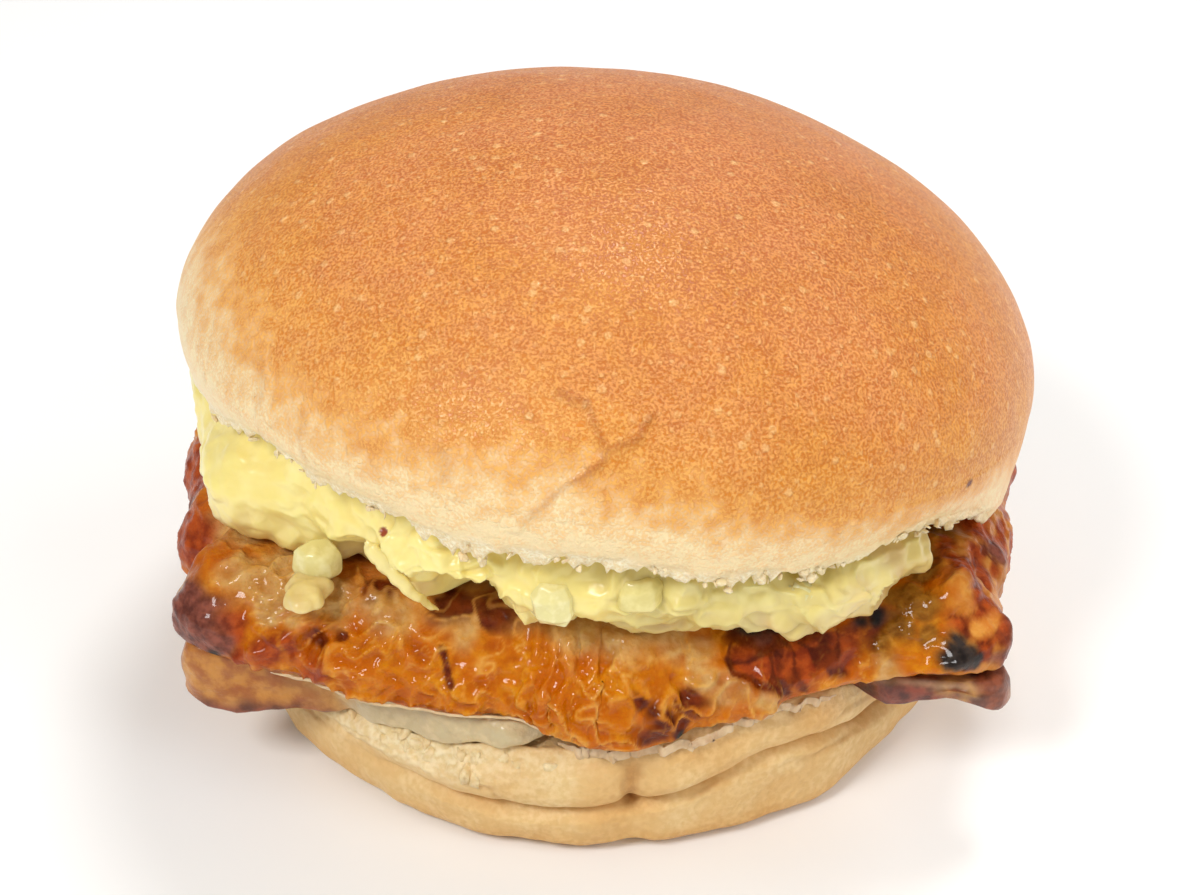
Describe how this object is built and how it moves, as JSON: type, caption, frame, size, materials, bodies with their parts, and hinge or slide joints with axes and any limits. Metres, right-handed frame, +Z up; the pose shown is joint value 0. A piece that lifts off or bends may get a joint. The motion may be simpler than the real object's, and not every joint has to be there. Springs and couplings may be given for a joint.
{
  "type": "chicken burger",
  "caption": "Chicken burger: soft round bun in two halves, grilled skin-on chicken with a lower fold, thick yellow sauce with onion between them. Stands on its flat base.",
  "frame": {"origin": "middle of the bottom bun's flat base", "axes": "+Z up, the front with the most filling showing faces -Y, +X to the right as seen from the front"},
  "size_m": [0.1166, 0.1127, 0.082],
  "materials": {
    "bun_crust": "baked crust, soft satin sheen, golden brown on top, cream at the torn lip",
    "bun_pale_crust": "pale baked crust, matt, creased where the filling presses it",
    "chicken_skin": "grilled skin, wrinkled, oily gloss, amber with mahogany and charred spots",
    "chicken_meat": "cooked meat and fat, moist, tan with browned edges",
    "yellow_sauce": "thick pale yellow sauce, moist, slightly translucent",
    "onion": "cut onion, wet, translucent, pale yellow-green"
  },
  "bodies": {
    "root": {"bun_bottom": "bun_pale_crust", "chicken_under": "chicken_meat", "chicken": "chicken_skin", "sauce": "yellow_sauce", "onion_piece_1": "onion", "onion_piece_2": "onion", "onion_piece_3": "onion", "sauce_dollop": "yellow_sauce", "bun_top": "bun_crust"}
  },
  "joints": []
}
